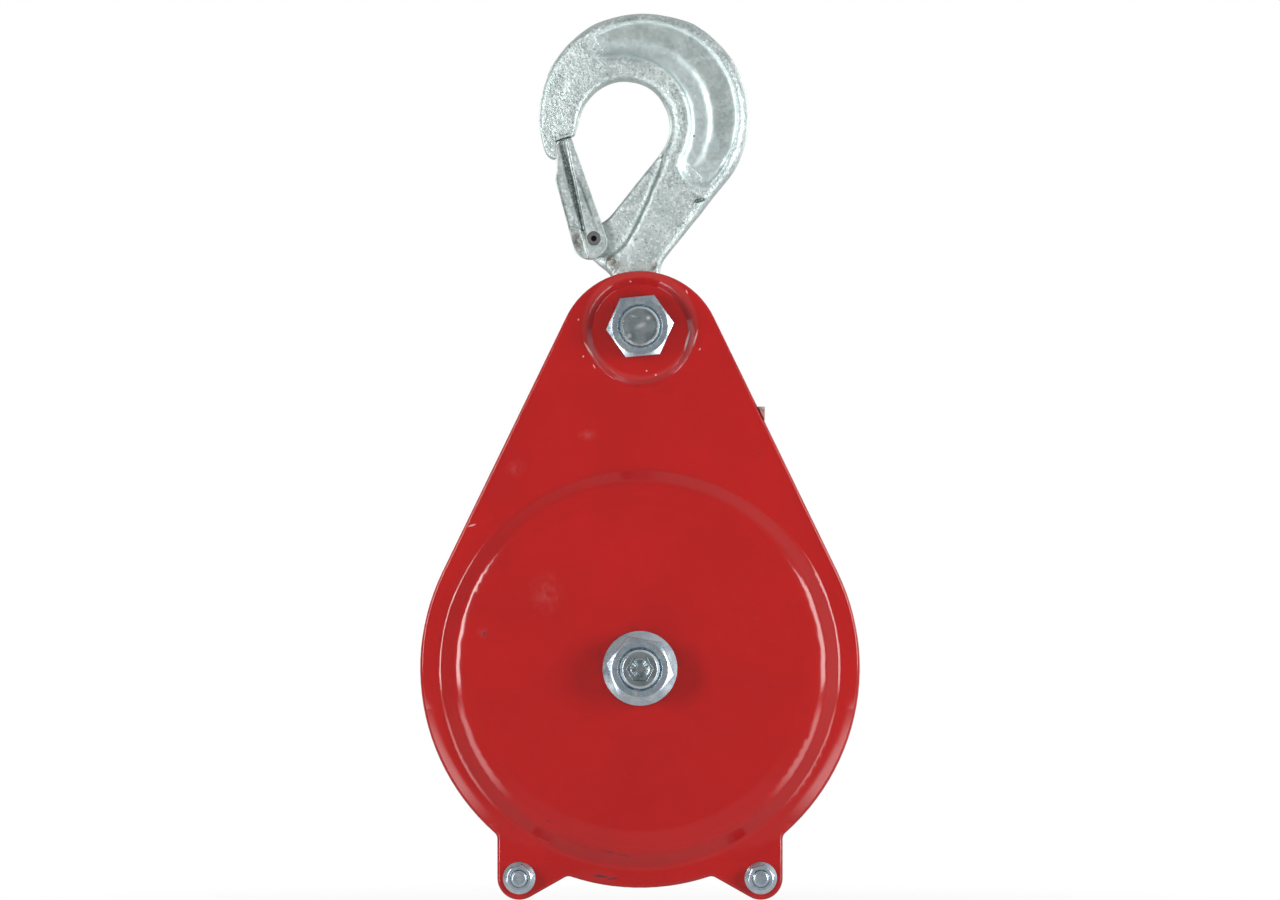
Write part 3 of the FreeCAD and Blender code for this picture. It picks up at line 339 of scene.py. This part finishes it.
def galvanised_forging(name, soiled_marks, painted_shade_marks):
    """Hot zinc coat on a drop forging: pale grey-green that glitters on its raised faces, with painted
    glints, painted highlights and painted shade.
    """
    material, tree, point = start_material(name)
    grainy = add(tree, "ShaderNodeAttribute", attribute_name="grain").outputs["Fac"]
    tone = patches(tree, point, 14)
    colour = laid_over(tree, linear(GALV_GREY), linear(GALV_LIGHT), tone)

    # Crystals of 1.4 mm, coarser than the real ones so that they show, some of them laid over in white
    # as painted glints
    crystals = add(tree, "ShaderNodeTexVoronoi", {"Vector": point, "Scale": 1 / (1.4 * MM)})
    facet = add(tree, "ShaderNodeSeparateColor", {0: crystals.outputs["Color"]})
    glint = add(tree, "ShaderNodeMapRange", {"Value": facet, "From Min": 0.6, "To Max": 0.45})
    colour = laid_over(tree, colour, linear(STUDIO_WHITE), glint, grainy)
    pits = patches(tree, point, 1.5, 0.42, 0.32, to_high=0.6)
    colour = laid_over(tree, colour, linear(GALV_DARK), pits, grainy)

    # Lighter on the rim of the hollow, rubbed bright and also a painted highlight, and a painted
    # highlight in its smooth channel
    bright = add(tree, "ShaderNodeAttribute", attribute_name="bright").outputs["Fac"]
    colour = laid_over(tree, colour, linear(GALV_RUBBED_AND_LIT), bright, 0.6)

    # Rust and grime where the zinc is thin, and painted shade in dented spots and grooves
    soiled = laid_over(tree, linear(GALV_DARK), linear(RUST_TRACE), patches(tree, point, 3))
    worn = strongest(tree, [smear(tree, point, *mark) for mark in soiled_marks])
    ragged = patches(tree, point, 2.2, 0.3, 0.5, to_high=0.8)
    colour = laid_over(tree, colour, soiled, worn, ragged)
    shaded = strongest(tree, [smear(tree, point, *mark) for mark in painted_shade_marks])
    rough = patches(tree, point, 1.2, 0.35, 0.5, 0.45, 0.95)
    colour = laid_over(tree, colour, linear(GALV_DARK), shaded, rough)

    # Painted shade: the rounded flanks, which face away from +Y and -Y, are made darker than the faces
    facing = add(tree, "ShaderNodeSeparateXYZ", {
        0: add(tree, "ShaderNodeTexCoord").outputs["Normal"],
    })
    level = add(tree, "ShaderNodeMath", {0: facing.outputs["Y"]}, operation="ABSOLUTE")
    flank_shade = add(tree, "ShaderNodeMapRange", {"Value": level, "From Min": 0.7, "From Max": 0.0})
    colour = laid_over(tree, colour, linear(GALV_FLANK_SHADE), flank_shade, 0.85)

    sugar = add(tree, "ShaderNodeTexNoise", {
        "Vector": point, "Scale": 1 / (1.4 * MM), "Detail": 3.0, "Roughness": 0.6,
    })
    skin = add(tree, "ShaderNodeMath", {0: sugar, 1: grainy}, operation="MULTIPLY")
    bump = add(tree, "ShaderNodeBump", {"Height": skin, "Strength": 1.0, "Distance": 0.42 * MM})
    shine = add(tree, "ShaderNodeMapRange", {"Value": facet, "To Min": 0.38, "To Max": 0.5})
    shader = add(tree, "ShaderNodeBsdfPrincipled", {
        "Base Color": colour, "Roughness": shine, "Normal": bump, "Metallic": 0.85,
    })
    add(tree, "ShaderNodeOutputMaterial", {"Surface": shader})
    return material


def bright_zinc():
    """Electroplated zinc with blue passivation: bright cool metal, cloudy on the bolts' ends, with
    painted highlights and painted glints there.
    """
    material, tree, point = start_material("bright_zinc")
    tint = patches(tree, point, 7)
    colour = laid_over(tree, linear(ZINC_BRIGHT), linear(ZINC_BLUE), tint)

    # The ends of the hook bolt and the axle are dull, partly dull zinc and partly painted shade,
    # inside a rim that carries a painted highlight
    place = add(tree, "ShaderNodeSeparateXYZ", {0: point})
    in_front = add(tree, "ShaderNodeMapRange", {
        "Value": place.outputs["Y"], "From Min": 0.0, "From Max": -10 * MM,
    })
    rim_highlights = strongest(tree, [
        disc(tree, point, BOLT, edge_r=12.6, full_r=12.1),
        disc(tree, point, AXLE, edge_r=12, full_r=11.6),
    ])
    colour = laid_over(tree, colour, linear(ZINC_BRIGHT), rim_highlights, in_front)
    ends = strongest(tree, [
        disc(tree, point, BOLT, edge_r=11.4, full_r=10.8),
        disc(tree, point, AXLE, edge_r=11, full_r=10),
    ])
    cloudy = patches(tree, point, 6, to_low=0.25, to_high=0.8)
    dull = add(tree, "ShaderNodeMath", {0: cloudy, 1: in_front}, operation="MULTIPLY")
    colour = laid_over(tree, colour, linear(ZINC_DULL_AND_SHADE), ends, dull)
    # Painted glints on small dented spots of the hook bolt's end
    end_glints = strongest(tree, [
        smear(tree, point, beside(BOLT, side, up), long, wide, turn, 0.0)
        for side, up, long, wide, turn in (
            (0.3, 0.3, 9, 4, 25), (5, 5, 4, 4, 0), (-6.6, -6, 4, 4, 0), (-4, 6, 5, 1.5, -10),
        )
    ])
    colour = laid_over(tree, colour, linear(STUDIO_WHITE), end_glints, in_front)
    fine = add(tree, "ShaderNodeTexNoise", {"Vector": point, "Scale": 1 / (1.1 * MM)})
    bump = add(tree, "ShaderNodeBump", {"Height": fine, "Strength": 0.3, "Distance": 0.08 * MM})
    shine = patches(tree, point, 3, to_low=0.19, to_high=0.32)
    shader = add(tree, "ShaderNodeBsdfPrincipled", {
        "Base Color": colour, "Roughness": shine, "Normal": bump, "Metallic": 1.0,
    })
    add(tree, "ShaderNodeOutputMaterial", {"Surface": shader})
    return material


def turned_metal(name, middle, colour_hex, groove, oily_r):
    """Metal turned on a lathe: rings coarser than the real ones so they show, and an oily bore."""
    material, tree, point = start_material(name)
    turns = add(tree, "ShaderNodeMath", {
        0: off_line(tree, point, middle), 1: math.tau / (groove * MM),
    }, operation="MULTIPLY")
    rings = add(tree, "ShaderNodeMath", {0: turns}, operation="SINE")
    stain = patches(tree, point, 20, to_high=0.35)
    colour = laid_over(tree, linear(colour_hex), linear(STEEL_DARK), stain)
    oily = disc(tree, point, middle, oily_r * 1.1, oily_r)
    colour = laid_over(tree, colour, linear(OIL_BLACK), oily, 0.9)
    bump = add(tree, "ShaderNodeBump", {"Height": rings, "Strength": 0.2, "Distance": 0.04 * MM})
    shader = add(tree, "ShaderNodeBsdfPrincipled", {
        "Base Color": colour, "Roughness": 0.34, "Normal": bump, "Metallic": 1.0,
    })
    add(tree, "ShaderNodeOutputMaterial", {"Surface": shader})
    return material


def oiled_steel():
    """Hardened pin and spring wire: dull dark steel with a little oil in its surface."""
    material, tree, point = start_material("oiled_steel")
    tone = patches(tree, point, 2.5)
    colour = laid_over(tree, linear(STEEL_DARK), linear(STEEL_TURNED), tone)
    shine = add(tree, "ShaderNodeMapRange", {"Value": tone, "To Min": 0.3, "To Max": 0.5})
    shader = add(tree, "ShaderNodeBsdfPrincipled", {
        "Base Color": colour, "Roughness": shine, "Metallic": 1.0,
    })
    add(tree, "ShaderNodeOutputMaterial", {"Surface": shader})
    return material


# Shapes


def take(piece):
    """Makes one piece the selected and active one."""
    bpy.ops.object.select_all(action="DESELECT")
    piece.select_set(True)
    bpy.context.view_layer.objects.active = piece


def modify(piece, kind, **settings):
    """Adds a modifier with its settings and applies it."""
    take(piece)
    modifier = piece.modifiers.new(kind.lower(), kind)
    for name, value in settings.items():
        setattr(modifier, name, value)
    bpy.ops.object.modifier_apply(modifier=modifier.name)


def merged_copy(node, name):
    """Copy of a CAD node with its loose triangles merged, to stand for that node."""
    piece = bpy.data.objects.new(name, nodes[node].data.copy())
    bpy.context.scene.collection.objects.link(piece)
    take(piece)
    bpy.ops.object.mode_set(mode="EDIT")
    bpy.ops.mesh.select_all(action="SELECT")
    bpy.ops.mesh.remove_doubles(threshold=0.002 * MM)
    bpy.ops.object.mode_set(mode="OBJECT")
    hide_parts(node)
    return piece


def clamped(value):
    """A value kept between 0 and 1."""
    return max(0.0, min(1.0, value))


def weigh(piece, name, share_at):
    """Vertex group that says how strongly a modifier works on each vertex."""
    group = piece.vertex_groups.new(name=name)
    for vertex in piece.data.vertices:
        group.add([vertex.index], share_at(vertex), "REPLACE")


def lumpy(piece, lump, height):
    """Lumps of some millimetres that a die and a hot bath leave, most of them sunk in."""
    texture = bpy.data.textures.new("lumps", "CLOUDS")
    texture.noise_scale = lump * MM
    texture.noise_depth = 1
    modify(
        piece, "DISPLACE", texture=texture, strength=height * MM, mid_level=0.8,
        texture_coords="LOCAL",
    )


def mark_skin(piece, name, share_at):
    """Marks on the mesh how grainy or how bright its skin is, from 0 to 1."""
    attribute = piece.data.attributes.new(name, "FLOAT", "POINT")
    for vertex in piece.data.vertices:
        attribute.data[vertex.index].value = share_at(vertex)


def even_shading(piece, angle=32):
    """Smooth shading that keeps flat faces flat."""
    take(piece)
    bpy.ops.object.shade_smooth_by_angle(angle=math.radians(angle))
    modify(piece, "WEIGHTED_NORMAL", keep_sharp=True)


def crisp(piece, edge, fold):
    """Breaks edges that fold by more than an angle with a small bevel, with even shading."""
    take(piece)
    bpy.ops.object.mode_set(mode="EDIT")
    bpy.ops.mesh.select_all(action="SELECT")
    bpy.ops.mesh.dissolve_limited(angle_limit=math.radians(1))
    bpy.ops.object.mode_set(mode="OBJECT")
    modify(
        piece, "BEVEL", width=edge * MM, segments=2, limit_method="ANGLE",
        angle_limit=math.radians(fold),
    )
    even_shading(piece, 30)


def dress(piece, material, node):
    """Gives a piece its material, the body of the node it stands for and a slot."""
    piece.data.materials.clear()
    piece.data.materials.append(material)
    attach(piece, next(name for name, held in bodies.items() if node in held))


def in_crescent(place):
    """How far inside the crescent's sides a place lies, in mm, and inside its ends, in degrees."""
    side = place.x - BACK_MIDDLE.x
    up = place.z - BACK_MIDDLE.z
    turn = math.degrees(math.atan2(up, side))
    from_back = math.hypot(side, up) / MM
    from_inner = math.dist(place.xz, CRESCENT_INNER_MIDDLE.xz) / MM
    across = min(CRESCENT_OUTER_R - from_back, from_inner - CRESCENT_INNER_R)
    return across, min(turn - CRESCENT_FROM, CRESCENT_TO - turn)


def softness(vertex):
    """Full on the rounded outside of the forging, less along the hollow, and none at the lip."""
    if math.dist(vertex.co.xz, LIP.xz) < LIP_KEPT * MM:
        return 0.0
    across, along = in_crescent(vertex.co)
    outside = abs(vertex.co.y) < BOWL_THICK / 4 * MM or across < -2 * CRESCENT_EDGE
    if outside or along < END_BEFORE:
        return 1.0
    return END_SOFTNESS if along < END_AFTER else HOLLOW_SOFTNESS


def run_out(vertex):
    """Full where the crescent's upper end runs out into the face."""
    side = vertex.co.x - BACK_MIDDLE.x
    turn = math.degrees(math.atan2(vertex.co.z - BACK_MIDDLE.z, side))
    on_face = abs(vertex.co.y) > BOWL_THICK / 4 * MM
    if not on_face or in_crescent(vertex.co)[0] <= -RUN_OUT_ASIDE:
        return 0.0
    return clamped((RUN_OUT_HALF - abs(turn - RUN_OUT_TURN)) / RUN_OUT_FADE)


def lip_drop(vertex):
    """How far the lip's underside comes down, in mm, to the round that the latch's tip sweeps."""
    side = (vertex.co.x - PIN.x) / MM
    up = (vertex.co.z - PIN.z) / MM
    if not (LIP_LEFT < side < LIP_RIGHT and LIP_LOW < up < LIP_HIGH):
        return 0.0
    drop = LIP_UP - math.sqrt(LATCH_SWEEP_R ** 2 - side ** 2)
    return drop * clamped((LIP_HIGH - up) / LIP_FADE)


def crown_drop(vertex):
    """How far the back comes down round its top, in mm, to a wider arch."""
    side = (vertex.co.x - BACK_MIDDLE.x) / MM
    up = (vertex.co.z - BACK_MIDDLE.z) / MM
    if abs(side) > CROWN_HALF or up < 0:
        return 0.0
    back = min(CROWN_UP, math.sqrt(BACK_R ** 2 - side ** 2))
    arch = CROWN_UP - CROWN_R + math.sqrt(CROWN_R ** 2 - side ** 2)
    return (back - arch) * clamped((math.hypot(side, up) - CROWN_FADE_FROM) / CROWN_FADE)


def hook_grain(vertex):
    """The crescent's floor is smooth, and the rest is sugary."""
    sunk = abs(vertex.co.y) < (BOWL_THICK / 2 - FLOOR_DEEP) * MM
    level = abs(vertex.normal.y) > 0.6
    return FLOOR_GRAIN if sunk and level and min(in_crescent(vertex.co)) > 0 else 1.0


def inside_crescent(place):
    """How far inside the crescent's outline a place lies, in mm, with its rounded ends."""
    for middle, half, reach, turn in CRESCENT_ENDS:
        out = Vector((math.cos(math.radians(turn)), 0, math.sin(math.radians(turn))))
        away = (place - middle) / MM
        ahead = away.dot(out)
        aside = away.dot(Vector((out.z, 0, -out.x)))
        if ahead > 0 and abs(aside) < 2 * half:
            return (1 - math.hypot(ahead / reach, aside / half)) * reach
    return in_crescent(place)[0]


def hook_brightness(vertex):
    """Full on the rim of the crescent, where slings rub and a painted highlight lies, and some on its
    channel, a painted highlight.
    """
    inside = inside_crescent(vertex.co)
    depth = BOWL_THICK / 2 - abs(vertex.co.y) / MM
    if depth > BRIGHT_DEEP:
        return 0.0
    rim = clamped((RIM_HALF - abs(inside + RIM_OUTSIDE)) / RIM_FADE)
    channel = CHANNEL_SHARE if inside > 0 and depth > CHANNEL_DEEP else 0.0
    return max(rim, channel)


def make_hook():
    """Forged hook, rounded as a die leaves it, with a crisp hollow in each face."""
    hook = merged_copy("hook", "hook_forging")
    modify(hook, "REMESH", mode="VOXEL", voxel_size=0.8 * MM)
    modify(hook, "SMOOTH", factor=0.5, iterations=4)
    weigh(hook, "soft", softness)
    modify(hook, "SMOOTH", factor=0.5, iterations=50, vertex_group="soft")
    weigh(hook, "run_out", run_out)
    modify(hook, "SMOOTH", factor=0.5, iterations=90, vertex_group="run_out")
    weigh(hook, "drop", lambda vertex: (lip_drop(vertex) + crown_drop(vertex)) / MOST_DROP)
    modify(
        hook, "DISPLACE", direction="Z", strength=-MOST_DROP * MM, mid_level=0.0,
        vertex_group="drop",
    )
    modify(hook, "SMOOTH", factor=0.5, iterations=20, vertex_group="soft")
    lumpy(hook, 20.0, 0.8)
    lumpy(hook, 7.0, 0.3)
    mark_skin(hook, "grain", hook_grain)
    # Painted highlight on the crescent's rim and channel, with rub wear on the rim
    mark_skin(hook, "bright", hook_brightness)
    take(hook)
    bpy.ops.object.shade_smooth()
    # Soiled beside the cheeks, and painted shade in two dented spots and along the line of the step
    # under the lip
    zinc = galvanised_forging(
        "galvanised_hook",
        soiled_marks=(
            (beside(BOLT, 9.4, 36.9), 5, 7, -30), (beside(BOLT, -17, 40), 14, 9, -35),
        ),
        painted_shade_marks=(
            (beside(BOLT, 36.6, 77.2), 9, 3.4, 15, 0.7), (beside(BOLT, 32.9, 116.5), 2.2, 1.8),
            (beside(BOLT, -46.5, 117.2), 10, 1.0, 11),
        ),
    )
    dress(hook, zinc, "hook")


def make_latch():
    """Forged latch with its ribs, and painted shade in the grooves between them."""
    latch = merged_copy("latch", "latch_forging")
    modify(latch, "REMESH", mode="VOXEL", voxel_size=0.4 * MM)
    modify(latch, "SMOOTH", factor=0.5, iterations=6)
    lumpy(latch, 5.0, 0.25)
    mark_skin(latch, "grain", lambda vertex: 0.8)
    take(latch)
    bpy.ops.object.shade_smooth()
    # Soiled round the pin, and painted shade in the long grooves
    zinc = galvanised_forging(
        "galvanised_latch",
        soiled_marks=(
            (beside(PIN, -10.5, -2), 20, 8, 104), (beside(PIN, -4, -13), 10, 5, -20),
        ),
        painted_shade_marks=(
            (beside(PIN, -13.5, 32), 84, 5, 104.5, 0.6),
            (beside(PIN, -23.5, 14), 60, 3, 104, 0.6),
            (beside(PIN, -18.5, 20), 56, 2.6, 104.5, 0.0),
            (beside(PIN, -5, 24), 46, 2.6, 110, 0.0),
        ),
    )
    dress(latch, zinc, "latch")


def make_cheeks():
    """Pressed cheeks in red, each with its own marks: right and up from the axle, long, wide, turn."""
    front = red_enamel(
        "front_red_enamel",
        dusty=(
            (-76, 122, 16, 12, 20), (-32, 142, 14, 9, 0), (-96, 22, 9, 9, 0),
            (70, 31, 5, 4, 0), (-57, 46, 24, 30, 0),
        ),
        # Where the block was dragged, and a star where it was struck
        scratches=(
            (-19, -112, 12, 1.0, -8), (-10, -114, 12, 0.9, -16), (-24, -127, 12, 2.0, -8),
            (-17, -128.5, 9, 1.6, 12), (-56, -93, 2.4, 1.2, 60), (-95, 21, 7, 0.7, 80),
            (-95, 21, 6, 0.7, 20), (-95, 21, 5, 0.7, -40), (72, 131, 1.5, 1.5, 0),
        ),
        # Painted glints round the seat, on its bends, and a pale mark on the rim of the dish
        chips_and_light=(
            (28.7, 199.5, 15, 1.7, 75), (33.9, 201.5, 12, 1.2, 74), (-31.4, 194.3, 12, 1.4, -59),
            (28.5, 229.5, 3.2, 1.1, -68), (-5.8, 235.8, 1.5, 1.3, 0), (9.6, 178.8, 1.5, 1.3, 0),
            (4, 181.3, 1.3, 1.2, 0), (-34.6, 190, 1.6, 1.1, 60), (-28, 184, 3.4, 0.8, -62),
            (-37.5, 212.5, 1.8, 1.0, 70), (36.5, 194.5, 2.2, 0.8, 66), (-102.5, 87, 6, 1.2, 16),
        ),
        bare=((28.7, 199.5, 2, 0.5, 75),),
    )
    # The rear cheek is worn by the washer that it slides under, and on its closing stop, where a large
    # pale mark is painted light that lifts the stop out of shade
    rear = red_enamel(
        "rear_red_enamel",
        dusty=((60, -40, 40, 22, 35), (-40, 70, 30, 16, -20), (-20, 205, 60, 30, 10)),
        scratches=((-8, 184, 14, 1.2, 8), (-26, 190, 12, 1.0, -10), (30, -100, 18, 1.0, 24)),
        chips_and_light=((74.8, 153.5, 15, 6, -64), (-43, 197, 5, 1.4, 60), (-60, 60, 3, 1.2, 20)),
        bare=((74, 159, 9, 2.6, 0),),
    )
    for cheek, enamel in (("front_cheek", front), ("rear_cheek", rear)):
        sheet = merged_copy(cheek, cheek + "_sheet")
        even_shading(sheet)
        dress(sheet, enamel, cheek)


def make_fasteners():
    """Bolts, nuts, washer, sleeves and axle, their edges broken as they come from the machine."""
    zinc = bright_zinc()
    for fastener in (
        "axle", "axle_flange_nut", "hook_bolt", "hook_bolt_nut", "hook_bolt_washer",
        "guard_bolt_left", "guard_bolt_right", "guard_sleeve_left", "guard_sleeve_right",
        "guard_nut_left", "guard_nut_right",
    ):
        piece = merged_copy(fastener, fastener + "_plated")
        crisp(piece, 0.4, 40 if fastener == "axle" else 28)
        dress(piece, zinc, fastener)


def dress_running_parts():
    """Materials of the CAD nodes that stay: sheave, bushes, washers, pin and spring."""
    steel = turned_metal("turned_steel", AXLE, STEEL_TURNED, 0.9, 26)
    ground = turned_metal("ground_pin", PIN, STEEL_TURNED, 0.5, 1.7)
    bronze = turned_metal("bearing_bronze", AXLE, BRONZE, 0.8, 17)
    wire = oiled_steel()
    for node, material in (
        ("sheave", steel), ("hook_bush", steel), ("sheave_bush", bronze),
        ("thrust_washer_front", bronze), ("thrust_washer_rear", bronze),
        ("latch_pin", ground), ("latch_spring", wire),
    ):
        nodes[node].data.materials.clear()
        nodes[node].data.materials.append(material)


# Studio


POOL_LEVEL = 4.5


def seen_rays(tree):
    """Light path node, and a mask of the rays that show the white ground."""
    path = add(tree, "ShaderNodeLightPath")
    return path, strongest(tree, [
        path.outputs["Is Camera Ray"], path.outputs["Is Glossy Ray"],
        path.outputs["Is Transmission Ray"],
    ])


def room_light(tree, way):
    """Level of the room, white behind the block and to its right, dim behind the camera."""
    along = add(
        tree, "ShaderNodeVectorMath", {0: way, 1: (0.45, 1, 0)}, operation="DOT_PRODUCT"
    ).outputs["Value"]
    return add(tree, "ShaderNodeMapRange", {
        "Value": along, "From Min": -0.5, "From Max": 0.7, "To Min": 0.36, "To Max": 1.0,
    })


def white_paper():
    """Floor paper: lit where the block's shadow may fall, white further out, with bright pools."""
    material, tree, point = start_material("studio_paper")
    path, seen = seen_rays(tree)
    flat = add(tree, "ShaderNodeVectorMath", {0: point, 1: (1, 1, 0)}, operation="MULTIPLY")
    away = add(tree, "ShaderNodeVectorMath", {0: flat}, operation="LENGTH").outputs["Value"]
    far = add(tree, "ShaderNodeMapRange", {
        "Value": away, "From Min": 0.15, "From Max": 0.5, "To Min": 0.8, "To Max": 1.0,
    })
    share = add(tree, "ShaderNodeMath", {0: seen, 1: far}, operation="MULTIPLY")
    parts = add(tree, "ShaderNodeSeparateXYZ", {0: point})
    side = add(tree, "ShaderNodeMath", {0: parts.outputs["X"]}, operation="ABSOLUTE")
    aslant = add(
        tree, "ShaderNodeMath", {0: parts.outputs["Y"], 1: side}, operation="DIVIDE"
    )

    # Two bright pools, in front at the left and the right, that only the gloss shows
    pools = POOL_LEVEL
    for value, outside, inside in (
        (side, 0.14, 0.22), (side, 0.75, 0.5), (aslant, -0.35, -0.55), (aslant, -1.3, -1.05),
    ):
        edge = add(tree, "ShaderNodeMapRange", {
            "Value": value, "From Min": outside, "From Max": inside,
        })
        pools = add(tree, "ShaderNodeMath", {0: pools, 1: edge}, operation="MULTIPLY")
    mirrored = strongest(tree, [room_light(tree, point), pools])
    level = add(tree, "ShaderNodeMix", {0: path.outputs["Is Camera Ray"], 2: mirrored, 3: 1.0})
    matt = add(tree, "ShaderNodeBsdfDiffuse", {"Color": linear(FLOOR_PALE)})
    glow = add(tree, "ShaderNodeEmission", {"Color": linear(STUDIO_WHITE), "Strength": level})
    mix = add(tree, "ShaderNodeMixShader", {0: share, 1: matt, 2: glow})
    add(tree, "ShaderNodeOutputMaterial", {"Surface": mix})
    return material


def make_floor():
    """Round sheet of white paper under the block."""
    bpy.ops.mesh.primitive_circle_add(
        vertices=96, radius=1.6, fill_type="NGON", location=(0, 0, cad_low.z - 12 * MM)
    )
    floor = bpy.context.active_object
    floor.name = "studio_floor"
    floor.data.materials.append(white_paper())


def make_air():
    """White ground behind the block, and a dim room behind the camera."""
    world = bpy.data.worlds.new("studio_air")
    bpy.context.scene.world = world
    world.use_nodes = True
    tree = world.node_tree
    tree.nodes.clear()
    room = room_light(tree, add(tree, "ShaderNodeTexCoord").outputs["Generated"])
    path, seen = seen_rays(tree)
    level = add(tree, "ShaderNodeMix", {0: path.outputs["Is Camera Ray"], 2: room, 3: 1.0})
    fill = add(tree, "ShaderNodeBackground", {"Color": linear(STUDIO_WHITE), "Strength": 0.26})
    ground = add(tree, "ShaderNodeBackground", {"Color": linear(STUDIO_WHITE), "Strength": level})
    mix = add(tree, "ShaderNodeMixShader", {0: seen, 1: fill, 2: ground})
    add(tree, "ShaderNodeOutputWorld", {"Surface": mix})


def softbox(name, place, width, height, power):
    """Rectangular lamp that faces the block."""
    lamp = bpy.data.lights.new(name, "AREA")
    lamp.shape = "RECTANGLE"
    lamp.size = width
    lamp.size_y = height
    lamp.energy = power
    box = bpy.data.objects.new(name, lamp)
    bpy.context.scene.collection.objects.link(box)
    box.location = place
    box.visible_camera = False
    aim = Vector((0, 0, cad_low.z / 2)) - Vector(place)
    box.rotation_euler = aim.to_track_quat("-Z", "Y").to_euler()
    return box


def make_lamps():
    """Tall softboxes at both sides for the streaks on the dish, and soft light from above."""
    softbox("left_front", (-1.08, -1.13, -0.1), 0.36, 0.8, 11.5)
    softbox("right_front", (1.2, -1.0, -0.12), 0.6, 0.78, 13.5)
    softbox("left_back", (-1.1, 1.2, 0.1), 0.8, 0.8, 7)
    softbox("right_back", (1.0, 1.3, 0.1), 0.8, 0.8, 7)
    top_panel = softbox("top_panel", (-0.1, -0.2, 1.5), 1.2, 0.6, 5)
    top_panel.visible_glossy = False


def make_camera():
    """Camera square to the front cheek, at 0.61 mm a pixel in the plane of its face."""
    pixel = 0.61 * MM
    picture_width = 1280
    cheek_face = -18 * MM
    away = 6.0
    axle_row = 668
    middle_row = 450
    lens = bpy.data.cameras.new("studio_camera")
    camera = bpy.data.objects.new("studio_camera", lens)
    bpy.context.scene.collection.objects.link(camera)
    camera.location = (0, cheek_face - away, AXLE.z + (axle_row - middle_row) * pixel)
    camera.rotation_euler = (math.radians(90), 0, 0)
    lens.lens = lens.sensor_width * away / (picture_width * pixel)
    lens.clip_start = 0.1
    lens.clip_end = 60
    bpy.context.scene.camera = camera


make_cheeks()
make_hook()
make_latch()
make_fasteners()
dress_running_parts()
make_floor()
make_air()
make_lamps()
make_camera()
bpy.context.scene.view_settings.view_transform = "Standard"
